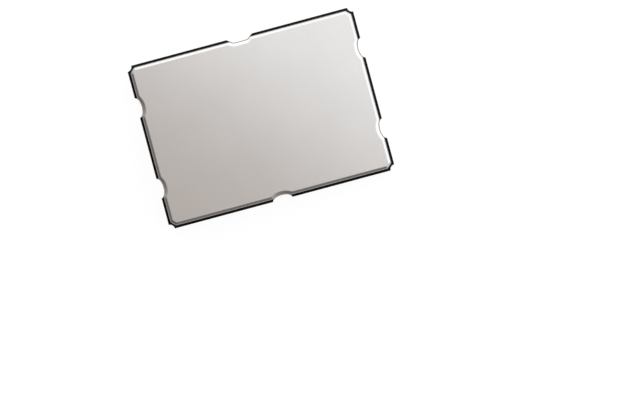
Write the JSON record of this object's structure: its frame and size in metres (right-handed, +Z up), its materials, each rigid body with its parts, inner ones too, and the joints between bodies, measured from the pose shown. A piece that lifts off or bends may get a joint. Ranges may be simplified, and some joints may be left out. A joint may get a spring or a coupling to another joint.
{
  "type": "crystal oscillator",
  "caption": "Rectangular surface-mount clock oscillator: black ceramic tray with notched sides, gold corner pads underneath and a satin metal lid with a rolled edge.",
  "frame": {"origin": "centre of the body on the seating plane, under the terminal pads", "axes": "+X along the body's length; +Y across it, towards the index notch; +Z up through the lid"},
  "size_m": [0.007, 0.005, 0.0016],
  "materials": {
    "black_ceramic": "fired black alumina, matt",
    "gold_plating": "satin gold plating over nickel",
    "printed_metal": "matt gold over printed tungsten",
    "silver_adhesive": "cured silver-filled adhesive",
    "silicon": "polished silicon",
    "gold_wire": "drawn gold wire",
    "quartz": "lapped and etched quartz",
    "silver_film": "evaporated silver film",
    "silver_braze": "silver-copper braze",
    "nickel_plating": "satin nickel plating on iron-nickel-cobalt alloy"
  },
  "bodies": {
    "root": {"ceramic_base": "black_ceramic", "terminal_1": "gold_plating", "terminal_2": "gold_plating", "terminal_3": "gold_plating", "terminal_4": "gold_plating", "lead_1": "printed_metal", "lead_2": "printed_metal", "lead_3": "printed_metal", "lead_4": "printed_metal", "crystal_lead_a": "printed_metal", "crystal_lead_b": "printed_metal", "die_pad": "printed_metal", "die_attach": "silver_adhesive", "oscillator_die": "silicon", "bond_wire_1": "gold_wire", "bond_wire_2": "gold_wire", "bond_wire_3": "gold_wire", "bond_wire_4": "gold_wire", "bond_wire_5": "gold_wire", "bond_wire_6": "gold_wire", "adhesive_dot_a": "silver_adhesive", "adhesive_dot_b": "silver_adhesive", "crystal_blank": "quartz", "electrode_top": "silver_film", "electrode_bottom": "silver_film", "braze_ring": "silver_braze", "seal_ring": "nickel_plating", "lid": "nickel_plating"}
  },
  "joints": []
}
